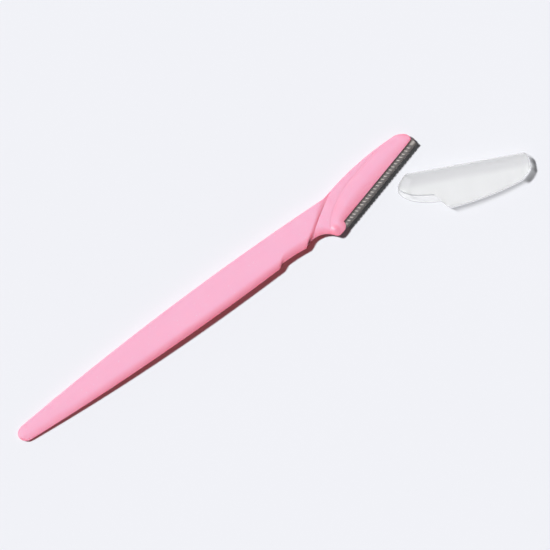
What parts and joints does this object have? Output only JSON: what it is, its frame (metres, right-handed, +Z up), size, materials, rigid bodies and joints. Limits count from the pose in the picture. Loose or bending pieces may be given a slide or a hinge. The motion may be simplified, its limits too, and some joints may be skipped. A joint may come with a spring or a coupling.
{
  "type": "eyebrow razor",
  "caption": "Slim flat-handled eyebrow razor with a thin angled blade under a comb guard, and a clear wedge-shaped cap lying beside it.",
  "frame": {"origin": "on the grip's flat underside, on the centre line, 55 mm from the tail tip; the underside is the plane z = 0 on which razor and cap lie", "axes": "+X from the tail along the grip to the head, +Y to the spine side away from the cutting edge, +Z up off the table"},
  "size_m": [0.1798, 0.0347, 0.0044],
  "materials": {
    "pink_plastic": "smooth moulded polystyrene, soft satin gloss",
    "blade_steel": "thin stainless strip with a fine ground bevel",
    "guard_steel": "thin folded sheet, satin",
    "clear_plastic": "clear to slightly milky moulded plastic"
  },
  "bodies": {
    "razor": {"handle": "pink_plastic", "blade": "blade_steel", "guard": "guard_steel"},
    "loose_cap": {"cap": "clear_plastic"}
  },
  "joints": [
    {"name": "cap_pull", "type": "slide", "parent": "razor", "child": "loose_cap", "axis": [0.9018, -0.4321, 0], "range_m": [0, 0.036]}
  ]
}
